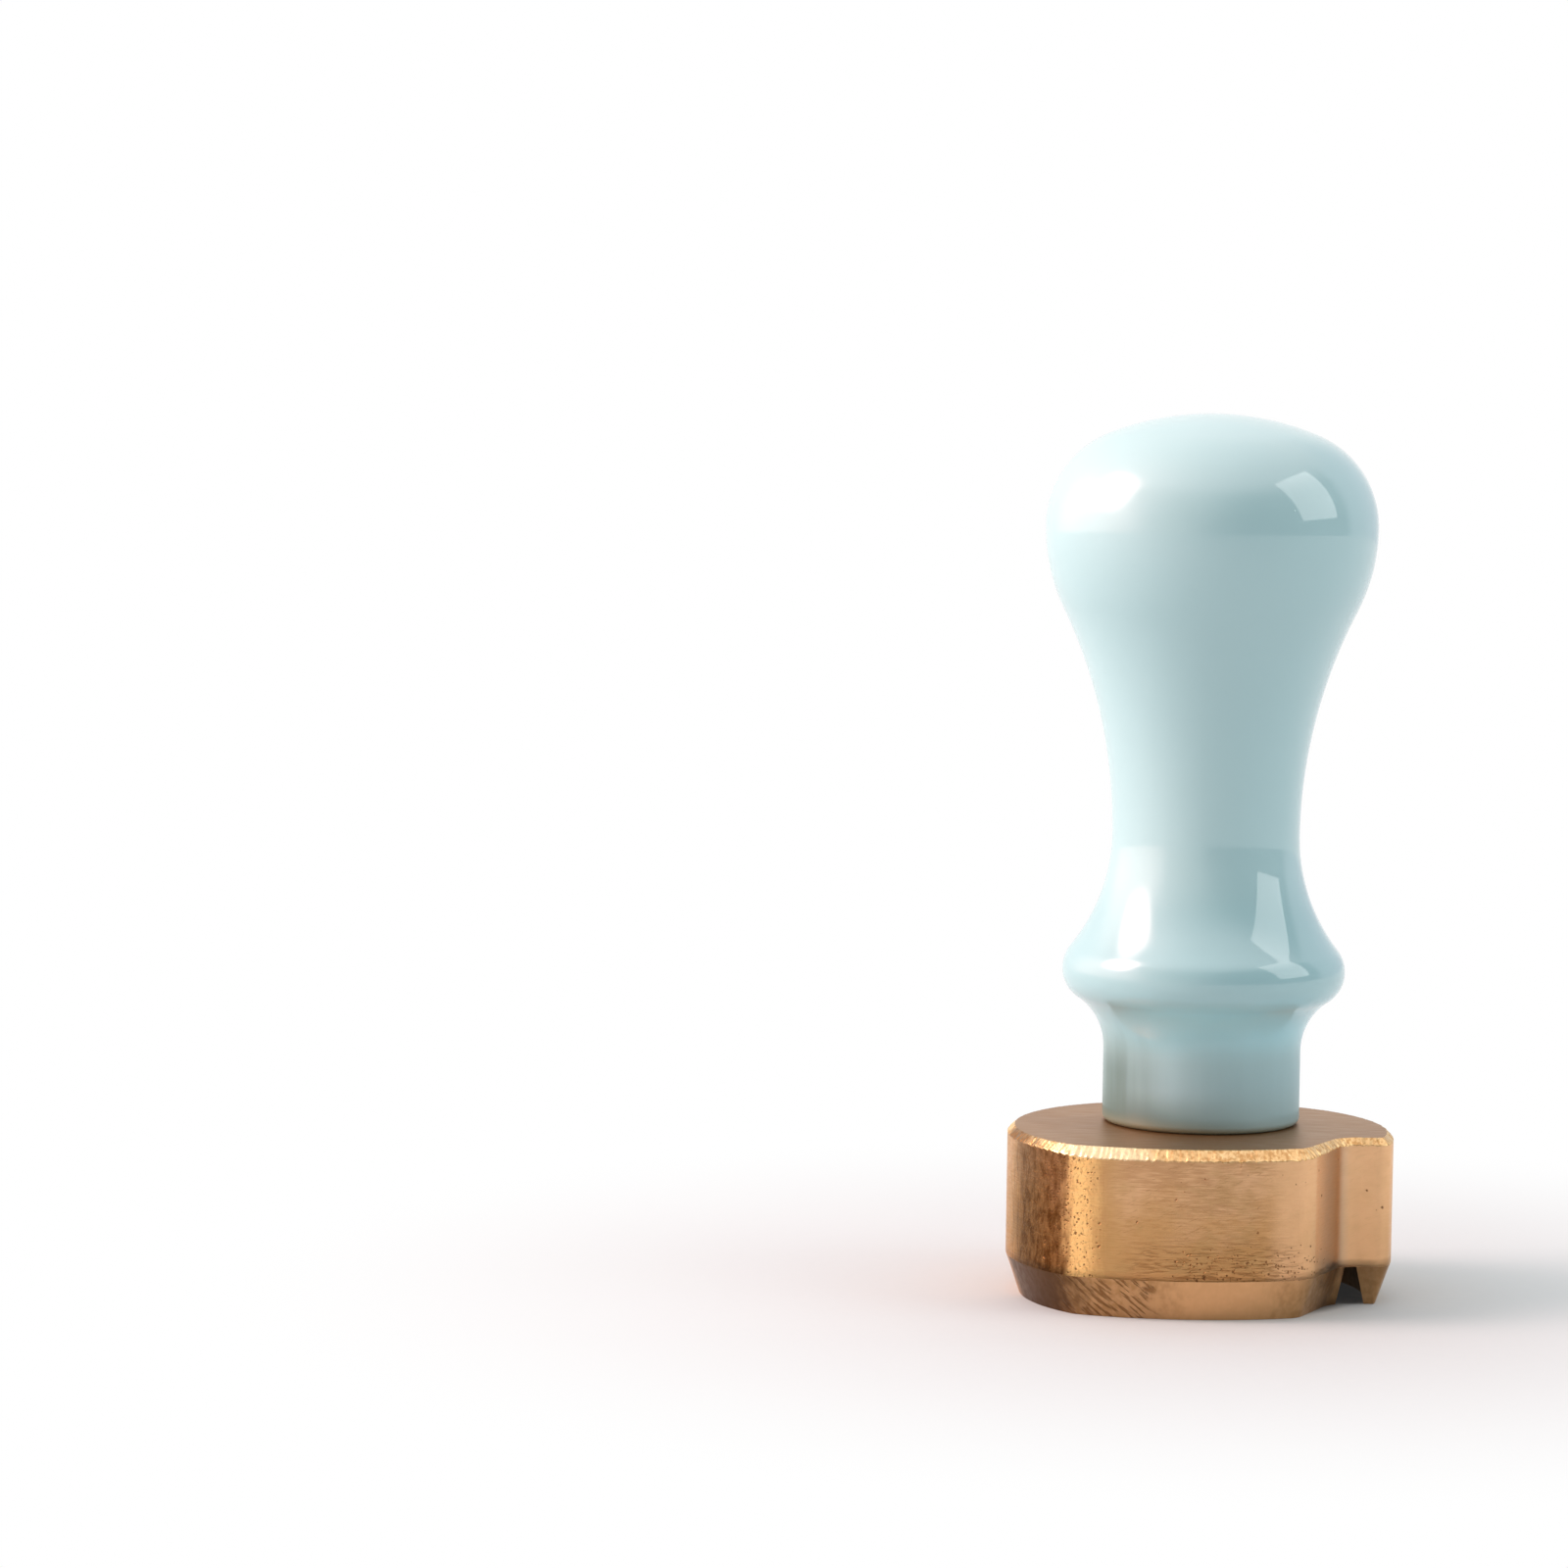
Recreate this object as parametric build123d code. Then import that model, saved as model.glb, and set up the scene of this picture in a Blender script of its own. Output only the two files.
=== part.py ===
from build123d import *
import os
from math import radians, sqrt, tan

# A hand stamp for clay. A turned handle screws onto a brass die by a double-ended stud.
# Millimetres, +Z up. The die stands on its stamping face at z = 0, and the origin is
# the middle of the floor that the whole stamp covers. The front of the stamp faces -Y.

# Die: round plate, milled to the outline of its design
plate_radius = 19.05
die_thickness = 16.6
top_chamfer = 1.0

# Front edge: a shallow bow that cuts off the front of the round plate
front_cut = 3.05
front_bow_radius = 31.0
front_bow_offset = 2.5
front_corner_radius = 3.4

# Notch that the outline makes at the right of the front, beside a flat lobe
lobe_width = 4.9
lobe_setback = 4.9
notch_lean = 22.0
notch_hollow_radius = 2.6
lobe_corner_radius = 1.6

# Relief on the stamping face: draughted lines that all stand on one floor
relief_depth = 3.9
relief_draft = 12.0
line_width = 1.0
skirt_inset = 1.35
rim_land = 1.2

# Gap through the rim where the outline turns in at the notch
gap_mouth = 2.8
gap_length = 8.0
gap_shift = 0.8

# Rope border: slanted bars along an arc that stays clear of the notch
rope_margin = 4.1
rope_bar_length = 3.2
rope_bar_count = 17
rope_bar_slant = 32.0
rope_start_angle = 2.0
rope_sweep = 222.0

# Star: two crossed square frames round a centre dot
star_margin = 3.5
star_forward = 1.6
dot_radius = 1.9

# Stud joint between die and handle: M6 machine thread below, wood thread above
stud_diameter = 6.0
machine_end_length = 9.5
wood_end_length = 20.0
wood_point_length = 4.0
stud_chamfer = 0.7
running_clearance = 0.05
hole_tip_gap = 0.6
bore_tip_gap = 2.0
mouth_chamfer = 0.5
drill_point_angle = 118.0

# Handle: stations of the turned profile, each with its radius. The neck, ring and waist
# rise from the station below, and the knob lies the crown's rise under the top.
handle_height = 70.5
handle_setback = 4.2
foot_round = 0.7
neck_radius = 9.8
neck_rise = 7.3
ring_radius = 14.05
ring_rise = 7.9
waist_radius = 9.32
waist_rise = 13.6
knob_radius = 16.45
crown_rise = 11.2

# Where each curve hands over to the next, along the line between two stations.
# On the crown it is a share of the quarter turn from the knob's side to its top.
cove_share = 0.65
flare_share = 0.16
swell_share = 0.73
crown_share = 0.513

front_reach = plate_radius - front_cut
notch_x = plate_radius - lobe_width
rim_inset = skirt_inset + rim_land
rope_radius = plate_radius - rim_inset - rope_margin
star_reach = rope_radius - star_margin
back_reach = max(plate_radius, handle_setback + knob_radius)
plate_centre_y = (front_reach - back_reach) / 2
handle_axis_y = plate_centre_y + handle_setback
plate_place = Pos(0, plate_centre_y, 0)
handle_place = Pos(0, handle_axis_y, die_thickness)
bore_radius = stud_diameter / 2 + running_clearance


# The plate's shape is the overlap of two discs, less the notch.
# The plate's disc is turned so that its seam falls on the stretch that is cut away.
def plate_shape():
    seam_turn = Rot(0, 0, -60)
    disc = seam_turn * Circle(plate_radius)
    front_bow = Pos(-front_bow_offset, front_bow_radius - front_reach) * Circle(front_bow_radius)
    notch_drop = plate_radius - lobe_setback
    notch = Polygon(
        (notch_x, -lobe_setback),
        (plate_radius, -lobe_setback),
        (plate_radius, -plate_radius),
        (notch_x - notch_drop * tan(radians(notch_lean)), -plate_radius),
        align=None,
    )
    return (disc & front_bow) - notch


def rounded(shape):
    lobe_corner = shape.vertices().sort_by(Axis.X)[-1]
    shape = fillet(lobe_corner, lobe_corner_radius)
    hollow_corner = shape.vertices().sort_by(Axis.X)[2]
    shape = fillet(hollow_corner, notch_hollow_radius)
    front_corners = shape.vertices().sort_by(Axis.X)[:2]
    return fillet(front_corners, front_corner_radius)


# Relief grows from its flat land at z = 0 towards the floor, so that clay lets go of it.
def raised(land):
    return extrude(land, amount=relief_depth, taper=-relief_draft)


def sunk(opening):
    return extrude(opening, amount=relief_depth, taper=relief_draft)


def square_frame(turn):
    outer_side = sqrt(2) * star_reach
    inner_side = outer_side - 2 * line_width
    outer = Rot(0, 0, turn) * Rectangle(outer_side, outer_side)
    inner = Rot(0, 0, turn) * Rectangle(inner_side, inner_side)
    return raised(outer) - sunk(inner)


def rope_bars():
    step = rope_sweep / (rope_bar_count - 1)
    bar = SlotOverall(rope_bar_length, line_width)
    for index in range(rope_bar_count):
        angle = rope_start_angle + index * step
        yield raised(Rot(0, 0, angle) * Pos(rope_radius, 0) * Rot(0, 0, rope_bar_slant) * bar)


# The cutter breaks the rim beside the notch with a V groove that opens to the front.
def rim_gap():
    return sunk(Pos(notch_x + gap_shift, -lobe_setback) * Rectangle(gap_mouth, gap_length))


def motifs():
    star_place = Pos(0, -star_forward, 0)
    star = [square_frame(0), square_frame(45), raised(Circle(dot_radius))]
    return [star_place * piece for piece in star] + list(rope_bars())


# Blind hole for the stud, with a drilled cone at its end and a broken edge at its mouth.
# It is drawn mouth down at the origin and runs up the Z axis.
def stud_hole(depth):
    cone_height = bore_radius / tan(radians(drill_point_angle / 2))
    section = Polygon(
        (0, 0),
        (bore_radius + mouth_chamfer, 0),
        (bore_radius, mouth_chamfer),
        (bore_radius, depth),
        (0, depth + cone_height),
        align=None,
    )
    return revolve(Plane.XZ * section, Axis.Z)


# The block is chamfered above, and below its wall leans in as the bevelled skirt of the relief.
def build_die():
    shape = plate_shape()
    block = extrude(rounded(shape), amount=die_thickness)
    block = chamfer(block.faces().sort_by(Axis.Z)[-1].edges(), top_chamfer)
    foot = block.faces().sort_by(Axis.Z)[0]
    block = chamfer(foot.edges(), skirt_inset, relief_depth, reference=foot)
    block -= sunk(offset(shape, amount=-rim_inset, kind=Kind.INTERSECTION))
    for motif in motifs():
        block += motif
    block -= rim_gap()
    hole = handle_place * Rot(180, 0, 0) * stud_hole(machine_end_length + hole_tip_gap)
    return plate_place * block - hole


def build_hanger_bolt():
    radius = stud_diameter / 2
    section = Polygon(
        (0, -machine_end_length),
        (radius - stud_chamfer, -machine_end_length),
        (radius, stud_chamfer - machine_end_length),
        (radius, wood_end_length - wood_point_length),
        (0, wood_end_length),
        align=None,
    )
    return handle_place * revolve(Plane.XZ * section, Axis.Z)


# Two arcs, tangent where they meet, that leave one station and reach the next upright.
def s_curve(start, end, first_share):
    middle = start + (end - start) * first_share
    first = TangentArc(start, middle, tangent=(0, 1))
    second = TangentArc(middle, end, tangent=first % 1)
    return [first, second]


# Two arcs, tangent where they meet, that leave the knob upright and reach its top level.
# Such arcs always meet on one circle, where knob and top lie a quarter turn apart.
def crown_curve(knob, top):
    rise = top.Y - knob.Y
    circle_centre = Vector(knob.X - rise, top.Y + knob.Y - knob.X) / 2
    spoke = (knob - circle_centre).rotate(Axis.Z, 90 * crown_share)
    shoulder = TangentArc(knob, circle_centre + spoke, tangent=(0, 1))
    crown = TangentArc(circle_centre + spoke, top, tangent=shoulder % 1)
    return [shoulder, crown]


def build_handle():
    neck = Vector(neck_radius, neck_rise)
    ring = Vector(ring_radius, neck.Y + ring_rise)
    waist = Vector(waist_radius, ring.Y + waist_rise)
    knob = Vector(knob_radius, handle_height - crown_rise)
    top = Vector(0, handle_height)
    edges = [Line((0, 0), (neck_radius, 0)), Line((neck_radius, 0), neck)]
    edges += s_curve(neck, ring, cove_share)
    edges += s_curve(ring, waist, flare_share)
    edges += s_curve(waist, knob, swell_share)
    edges += crown_curve(knob, top)
    edges.append(Line(top, (0, 0)))
    section = make_face(Curve() + edges)
    turned = revolve(Plane.XZ * section, Axis.Z)
    foot_edge = turned.edges().group_by(Axis.Z)[0]
    turned = fillet(foot_edge, foot_round)
    return handle_place * (turned - stud_hole(wood_end_length + bore_tip_gap))


nodes = {
    "die": build_die(),
    "hanger_bolt": build_hanger_bolt(),
    "handle": build_handle(),
}
os.makedirs("parts", exist_ok=True)
for name, shape in nodes.items():
    export_step(shape, f"parts/{name}.step")
    print(name, "volume", round(shape.volume, 1), "solids", len(shape.solids()))
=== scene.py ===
import math

import bmesh
import bpy
import numpy as np
from mathutils import Matrix, Vector


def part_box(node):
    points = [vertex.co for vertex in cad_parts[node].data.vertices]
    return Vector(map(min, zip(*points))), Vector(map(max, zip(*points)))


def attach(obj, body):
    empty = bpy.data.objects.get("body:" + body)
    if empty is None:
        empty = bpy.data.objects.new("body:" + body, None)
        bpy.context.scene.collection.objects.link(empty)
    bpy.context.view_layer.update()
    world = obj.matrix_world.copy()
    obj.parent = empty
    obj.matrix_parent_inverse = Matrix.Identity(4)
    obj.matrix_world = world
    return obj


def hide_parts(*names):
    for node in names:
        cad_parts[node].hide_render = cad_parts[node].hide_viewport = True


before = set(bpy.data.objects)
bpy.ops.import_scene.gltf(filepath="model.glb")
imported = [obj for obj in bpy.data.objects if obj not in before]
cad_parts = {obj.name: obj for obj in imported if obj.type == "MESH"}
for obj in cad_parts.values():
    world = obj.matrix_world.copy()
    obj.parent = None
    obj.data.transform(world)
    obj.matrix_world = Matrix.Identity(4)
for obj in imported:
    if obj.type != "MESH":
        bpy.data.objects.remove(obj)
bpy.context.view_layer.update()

# The brass die is a slice of round bar, milled round to the outline of its design. Its back
# edge is chamfered by hand, so the chamfer is chattered, and a blind M6 hole is tapped into
# the back for the stud. The relief on its face is cut from the same block.
mm = 0.001
die_low, die_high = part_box("die")
bolt_low, bolt_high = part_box("hanger_bolt")
plate_radius = die_high.x
plate_top = die_high.z
plate_centre = np.array([0, die_high.y - plate_radius])
front_reach = plate_centre[1] - die_low.y
bow_radius, bow_offset, front_corner_radius = 31.0 * mm, 2.5 * mm, 3.4 * mm
lobe_width, lobe_setback, lobe_corner_radius = 4.9 * mm, 4.9 * mm, 1.6 * mm
notch_x, notch_lean, notch_hollow_radius = plate_radius - lobe_width, math.radians(22.0), 2.6 * mm
top_chamfer, relief_depth, seam_overlap = 1.0 * mm, 3.9 * mm, 0.02 * mm
chamfer_places = np.array([-15.0, -10.5, 9.5, 13.5]) * mm
chamfer_shares = np.array([0.72, 1.0, 1.0, 0.66])
edge_softness = 0.07 * mm
chatter_wave, chatter_depth, ripple_waves = 0.9 * mm, 0.012 * mm, 28
foot_wander, inset_wander = 0.045 * mm, 0.027 * mm
stud_x, stud_y = (bolt_low.x + bolt_high.x) / 2, (bolt_low.y + bolt_high.y) / 2
thread_pitch, thread_major, thread_minor = 1.0 * mm, 6.1 * mm, 5.1 * mm
hole_depth, hole_mouth_radius, mouth_chamfer, drill_tip = 10.1 * mm, 3.55 * mm, 0.5 * mm, 1.8 * mm
outline_steps, hole_steps, rim_arc_steps = 1536, 96, 400
wall_rows, chamfer_rows, tapped_rows = 14, 10, 150
corner_marks_back, front_marks_back, marks_fade = -5.0 * mm, -6.5 * mm, 1.5 * mm


def circles_meet(centre, radius, other, other_radius):
    """The left one of the two points that lie radius from centre and other_radius from other.

    Along the line of centres it is (radius^2 - other_radius^2 + distance^2) / (2 distance) out.
    """
    line = other - centre
    distance = np.hypot(*line)
    along = (radius**2 - other_radius**2 + distance**2) / (2 * distance)
    across = math.sqrt(radius**2 - along**2)
    side = np.array([-line[1], line[0]]) / distance
    return centre + line / distance * along + side * across


def die_outline(steps):
    """Points along the die's outline and the angle of the outward normal at each, evenly spaced.

    The outline is six arcs, each centre + radius * n, where n is the unit normal that turns
    evenly between two shared angles. A hollow arc's radius is negative. Straight stretches
    are what lies between one arc's end and the next one's start.
    """
    bow = np.array([-bow_offset, bow_radius - front_reach])
    plate = np.zeros(2)
    reach = plate_radius - front_corner_radius
    left = circles_meet(plate, reach, bow, bow_radius - front_corner_radius)
    notch = np.array([notch_x, -lobe_setback])
    inward = np.array([-math.cos(notch_lean), math.sin(notch_lean)])
    down = np.array([-math.sin(notch_lean), -math.cos(notch_lean)])
    start = notch + inward * front_corner_radius - bow
    lean = start @ down
    spare = (bow_radius - front_corner_radius) ** 2 - start @ start
    right = start + bow + down * (math.sqrt(lean**2 + spare) - lean)
    hollow_run = notch_hollow_radius * (1 - math.sin(notch_lean)) / math.cos(notch_lean)
    hollow = notch + np.array([hollow_run, -notch_hollow_radius])
    lobe_y = lobe_corner_radius - lobe_setback
    lobe = np.array([math.sqrt((plate_radius - lobe_corner_radius) ** 2 - lobe_y**2), lobe_y])
    centres = np.array([plate, left, bow, right, hollow, lobe])
    radii = np.array([plate_radius, front_corner_radius, bow_radius, front_corner_radius,
                      -notch_hollow_radius, lobe_corner_radius])
    shared = [math.atan2(*spoke[::-1]) for spoke in (lobe, left, left - bow, right - bow)]
    shared[1:] = [angle + 2 * math.pi for angle in shared[1:]]
    angles = np.array([*shared, 2 * math.pi - notch_lean, 1.5 * math.pi, shared[0] + 2 * math.pi])
    turn = np.linspace(angles[:-1], angles[1:], rim_arc_steps, axis=1)
    rim = centres[:, :, None] + radii[:, None, None] * np.stack([np.cos(turn), np.sin(turn)], 1)
    x, y, turn = rim[:, 0].ravel(), rim[:, 1].ravel(), turn.ravel()
    run = np.concatenate([[0], np.cumsum(np.hypot(np.diff(x), np.diff(y)))])
    at = np.linspace(0, run[-1], steps, endpoint=False)
    points = np.stack([np.interp(at, run, x), np.interp(at, run, y)], 1) + plate_centre
    return points, np.interp(at, run, turn), run[-1]


def wander(seed, steps, length, wave):
    """A closed random ripple of unit size along a loop: a sum of sines with random phases,
    whose waves are from half to three times as long as wave."""
    random = np.random.default_rng(seed)
    counts = random.integers(length / wave / 3, length / wave * 2, ripple_waves)
    phases = random.uniform(0, 2 * math.pi, ripple_waves)
    turn = np.linspace(0, 2 * math.pi, steps, endpoint=False)
    return np.sin(counts[:, None] * turn + phases[:, None]).sum(0) / math.sqrt(ripple_waves / 2)


def thread_radius(turn, height, pitch, crest, root, crest_share=0.15, root_share=0.2):
    """The radius of a right-hand screw thread at each angle and height: straight flanks
    between flat crests and roots, along a helix that climbs one pitch a turn."""
    phase = np.abs((height / pitch - turn / (2 * math.pi)) % 1 * 2 - 1)
    flank = np.clip((phase - root_share) / (1 - root_share - crest_share), 0, 1)
    return root + (crest - root) * flank


def grid_faces(rows, columns, first=0):
    """Quads of a grid whose columns close into a ring, numbered from the vertex first on."""
    row, column = np.meshgrid(np.arange(rows - 1), np.arange(columns), indexing="ij")
    corner = first + row * columns + column
    beside = first + row * columns + (column + 1) % columns
    return np.stack([corner, beside, beside + columns, corner + columns], -1).reshape(-1, 4)


def fan_faces(ring, columns, pole, upwards):
    """Triangles from a ring's vertices, numbered from ring on, to the vertex pole."""
    column = np.arange(columns)
    ends = [ring + column, ring + (column + 1) % columns, np.full(columns, pole)]
    return np.stack(ends if upwards else ends[::-1], 1)


def make_piece(name, points, face_groups, materials):
    """A mesh object in metres. Each group is (faces, material number), all smooth shaded."""
    mesh = bpy.data.meshes.new(name)
    faces = [face for group, _ in face_groups for face in group.tolist()]
    mesh.from_pydata(points.tolist(), [], faces)
    slots = np.concatenate([np.full(len(group), slot) for group, slot in face_groups])
    for material in materials:
        mesh.materials.append(material)
    mesh.polygons.foreach_set("material_index", slots.astype(np.int32))
    mesh.shade_smooth()
    piece = bpy.data.objects.new(name, mesh)
    bpy.context.scene.collection.objects.link(piece)
    return piece


def feed(tree, node, inputs):
    """Sets each of the node's inputs to a value, or links another node's socket to it."""
    for key, value in dict(inputs).items():
        if isinstance(value, bpy.types.NodeSocket):
            tree.links.new(value, node.inputs[key])
        else:
            node.inputs[key].default_value = value


def shade(tree, kind, inputs=(), **settings):
    """A new shader node with those inputs and settings."""
    made = tree.nodes.new("ShaderNode" + kind)
    for name, value in settings.items():
        setattr(made, name, value)
    feed(tree, made, inputs)
    return made


def start_material(name):
    """A new material's node tree, its Principled shader and its Object coordinates."""
    material = bpy.data.materials.new(name)
    material.use_nodes = True
    tree = material.node_tree
    return material, tree, tree.nodes["Principled BSDF"], shade(tree, "TexCoord").outputs["Object"]


def axes(tree, place):
    """The x, y and z of each point."""
    return shade(tree, "SeparateXYZ", {0: place}).outputs


def noise(tree, place, scale, detail=3.0, offset=(0, 0, 0)):
    """Noise from 0 to 1 whose grain is scale per metre along each axis, moved on by offset."""
    moved = shade(tree, "Mapping", {"Vector": place, "Location": offset, "Scale": scale})
    grain = {"Vector": moved.outputs[0], "Scale": 1.0, "Detail": detail}
    return shade(tree, "TexNoise", grain).outputs["Fac"]


def ramp(tree, value, low, high, start=0.0, end=1.0):
    """Value eased from start at low to end at high."""
    ends = {"Value": value, 1: low, 2: high, 3: start, 4: end}
    return shade(tree, "MapRange", ends, interpolation_type="SMOOTHSTEP").outputs[0]


def combine(tree, operation, first, second):
    """The result of one of the Math node's operations on two values."""
    return shade(tree, "Math", {0: first, 1: second}, operation=operation).outputs[0]


def times(tree, first, *others):
    """The product of all the values."""
    for other in others:
        first = combine(tree, "MULTIPLY", first, other)
    return first


def band(tree, value, rise, fall, soft):
    """One from rise to fall and nothing outside, eased over twice soft at both ends."""
    return times(tree, ramp(tree, value, rise - soft, rise + soft),
                 ramp(tree, value, fall - soft, fall + soft, 1.0, 0.0))


def in_front(tree, y, back):
    """One in front of the place back and nothing behind it, eased over twice marks_fade."""
    return ramp(tree, y, back - marks_fade, back + marks_fade, 1.0, 0.0)


def mix_colour(tree, share, first, second):
    """The colour first where share is 0 and second where it is 1."""
    ends = [tone if isinstance(tone, bpy.types.NodeSocket) else (*tone, 1) for tone in (first, second)]
    return shade(tree, "Mix", {0: share, 6: ends[0], 7: ends[1]}, data_type="RGBA").outputs[2]


def paint(tree, colour, coats):
    """The colour under each coat in turn. A coat is the share that it covers, and its colour."""
    for share, tone in coats:
        colour = mix_colour(tree, share, colour, tone)
    return colour


def bump(tree, height, distance, below=None):
    """A bump of that height in metres, on top of the bump below."""
    inputs = {"Height": height, "Distance": distance}
    if below is not None:
        inputs["Normal"] = below
    return shade(tree, "Bump", inputs).outputs[0]


def brass(name, bright, dull, grain, grain_depth, roughness, layers=(), matte=None, rim=(1, 1, 1)):
    """Cut brass, bright between the dull marks of the cutter. Grain is the number of marks per
    metre along each axis, each layer adds to the colour and the bump below it, matte gives how
    much is added to the roughness, and rim tints what the metal mirrors at a low angle."""
    material, tree, shader, place = start_material(name)
    lines = noise(tree, place, grain, 4.0)
    cloud = noise(tree, place, (130, 130, 260))
    worn = ramp(tree, combine(tree, "ADD", lines, cloud), 0.8, 1.2)
    colour = mix_colour(tree, worn, bright, dull)
    normal = bump(tree, lines, grain_depth)
    for layer in layers:
        colour, normal = layer(tree, place, colour, normal)
    rough = ramp(tree, lines, 0.3, 0.7, roughness - 0.05, roughness + 0.08)
    if matte is not None:
        rough = combine(tree, "ADD", rough, matte(tree, place))
    feed(tree, shader, {"Base Color": colour, "Roughness": rough, "Normal": normal,
                        "Metallic": 1.0, "Specular Tint": (*rim, 1)})
    return material


def streaked(tree, place, grain, reach):
    """The x of each point, shaken by up to reach with streaks of that grain."""
    shake = ramp(tree, noise(tree, place, grain, 4.0), 0.25, 0.75, -reach, reach)
    return combine(tree, "ADD", axes(tree, place)[0], shake)


def painted_side_reflections(tree, place, colour, normal):
    """Painted reflections down the left of the front: a dark brown band of painted shade, which
    stands for the reflection of a dark thing beside the stamp, next to a painted highlight at
    the corner, which stands for the reflection of the left soft box, with fine grit over both."""
    dark_span, painted_dark_brown = (-17.8 * mm, -12.6 * mm), (0.085, 0.03, 0.005)
    highlight_core_span, highlight_core_gold = (-12.6 * mm, -10.0 * mm), (1.0, 0.68, 0.29)
    highlight_glow_span, highlight_glow_gold = (-11.6 * mm, -8.0 * mm), (0.60, 0.355, 0.14)
    grit_span, grit_brown = (-18.0 * mm, -9.5 * mm), (0.34, 0.17, 0.055)
    paler_span, grit_depth, shake = (8.0 * mm, 15.0 * mm), 0.015 * mm, 0.35 * mm
    _, y, z = axes(tree, place)
    across = streaked(tree, place, (1800, 1800, 420), shake)
    front = in_front(tree, y, corner_marks_back)
    # Painted shade: the dark band, a little paler higher up, stands for a dark reflection.
    mottle = ramp(tree, noise(tree, place, (1700, 1700, 800), 5.0), 0.3, 0.7, 0.74, 1.0)
    painted_darkening = times(tree, front, mottle, ramp(tree, z, *paler_span, 1.0, 0.92),
                  band(tree, across, *dark_span, 0.9 * mm))
    # Painted highlight: a broad glow and a bright core stand for the soft box mirrored in the corner.
    highlight_glow = times(tree, front, band(tree, across, *highlight_glow_span, 1.8 * mm))
    highlight_core = times(tree, front, band(tree, across, *highlight_core_span, 1.3 * mm))
    grit = times(tree, ramp(tree, noise(tree, place, (4200, 4200, 3000)), 0.5, 0.66), front,
                 band(tree, across, *grit_span, 1.5 * mm))
    colour = paint(tree, colour, [
        (times(tree, highlight_glow, 0.65), highlight_glow_gold),
        (times(tree, highlight_core, 0.95), highlight_core_gold),
        (painted_darkening, painted_dark_brown),
        (times(tree, grit, 0.3), grit_brown),
    ])
    return colour, bump(tree, times(tree, grit, -1.0), grit_depth, normal)


def sanded_corner(tree, place):
    """The left corner of the front is as matte as if it had been sanded."""
    sanded_span, matte_share = (-15.0 * mm, -9.0 * mm), 0.27
    x, y, _ = axes(tree, place)
    front = in_front(tree, y, corner_marks_back)
    return times(tree, front, band(tree, x, *sanded_span, 1.4 * mm), matte_share)


def painted_edge_highlight(tree, place, colour, normal):
    """The edge is darker at its left end, and then carries a painted highlight, almost white,
    which stands for the left soft box mirrored in it.
    """
    dull_span, dull_brown = (-17.8 * mm, -13.2 * mm), (0.24, 0.125, 0.045)
    edge_highlight_span, edge_highlight_cream = (-13.2 * mm, -4.8 * mm), (1.0, 0.86, 0.58)
    across = streaked(tree, place, (1300, 1300, 1300), 1.0 * mm)
    front = in_front(tree, axes(tree, place)[1], corner_marks_back)
    dull = times(tree, front, ramp(tree, across, *dull_span, 0.95, 0.0))
    # Painted highlight: the cream band stands for the soft box's reflection in the edge.
    edge_highlight = times(tree, front, band(tree, across, *edge_highlight_span, 1.5 * mm), 0.55)
    return paint(tree, colour, [(edge_highlight, edge_highlight_cream), (dull, dull_brown)]), normal


def warm_foot(tree, place, colour, normal):
    """Pink where the cut is fresh at the right, golden brown below, clouded all over, with fine
    scratches, dark scrapes near the foot and painted shade in the hollow at the notch."""
    fresh_span, fresh_pink = (5.4 * mm, 8.8 * mm), (0.85, 0.505, 0.27)
    foot_rise, foot_gold = (6.5 * mm, 14.5 * mm), (0.54, 0.285, 0.098)
    cloud_reach, cloud_olive = 3.0 * mm, (0.50, 0.30, 0.125)
    scratch_turn, scratch_brown = math.radians(25), (0.38, 0.20, 0.08)
    scrape_span, scrape_rise = (-6.0 * mm, 9.0 * mm), (5.2 * mm, 9.0 * mm)
    scrape_depth, scrape_brown = 0.02 * mm, (0.27, 0.12, 0.04)
    hollow_span, hollow_fade = (12.0 * mm, 14.1 * mm), (-3.0 * mm, -1.5 * mm)
    hollow_painted_shade = (0.40, 0.335, 0.265)
    x, y, z = axes(tree, place)
    cloud = noise(tree, place, (170, 170, 230))
    height = combine(tree, "ADD", z, ramp(tree, cloud, 0.25, 0.75, -cloud_reach, cloud_reach))
    fresh = ramp(tree, x, *fresh_span)
    fainter = ramp(tree, fresh, 0.0, 1.0, 0.4, 0.1)
    foot = times(tree, ramp(tree, height, *foot_rise, 0.7, 0.0),
                 ramp(tree, fresh, 0.0, 1.0, 1.0, 0.25))
    olive = noise(tree, place, (420, 420, 520), 4.0, (0.7, 0.2, 0.5))
    olive = times(tree, ramp(tree, olive, 0.44, 0.66), fainter)
    turned = shade(tree, "Mapping", {"Vector": place, "Rotation": (0, scratch_turn, 0)}).outputs[0]
    scratches = times(tree, ramp(tree, noise(tree, turned, (900, 900, 6500), 2.0), 0.60, 0.72), fainter)
    patch = times(tree, ramp(tree, z, *scrape_rise, 1.0, 0.0),
                  band(tree, x, *scrape_span, 2.5 * mm), in_front(tree, y, front_marks_back))
    scrapes = noise(tree, place, (650, 650, 5200), 3.0, (0.3, 0.1, 0.2))
    scrapes = times(tree, ramp(tree, scrapes, 0.5, 0.64), patch)
    # Painted shade: the hollow at the notch is darkened where its crease is shaded.
    hollow = times(tree, band(tree, x, *hollow_span, 1.0 * mm), ramp(tree, y, *hollow_fade, 0.75, 0.0))
    colour = paint(tree, colour, [
        (fresh, fresh_pink),
        (foot, foot_gold),
        (olive, cloud_olive),
        (scratches, scratch_brown),
        (times(tree, scrapes, 0.6), scrape_brown),
        (hollow, hollow_painted_shade),
    ])
    return colour, bump(tree, times(tree, scrapes, -1.0), scrape_depth, normal)


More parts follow.
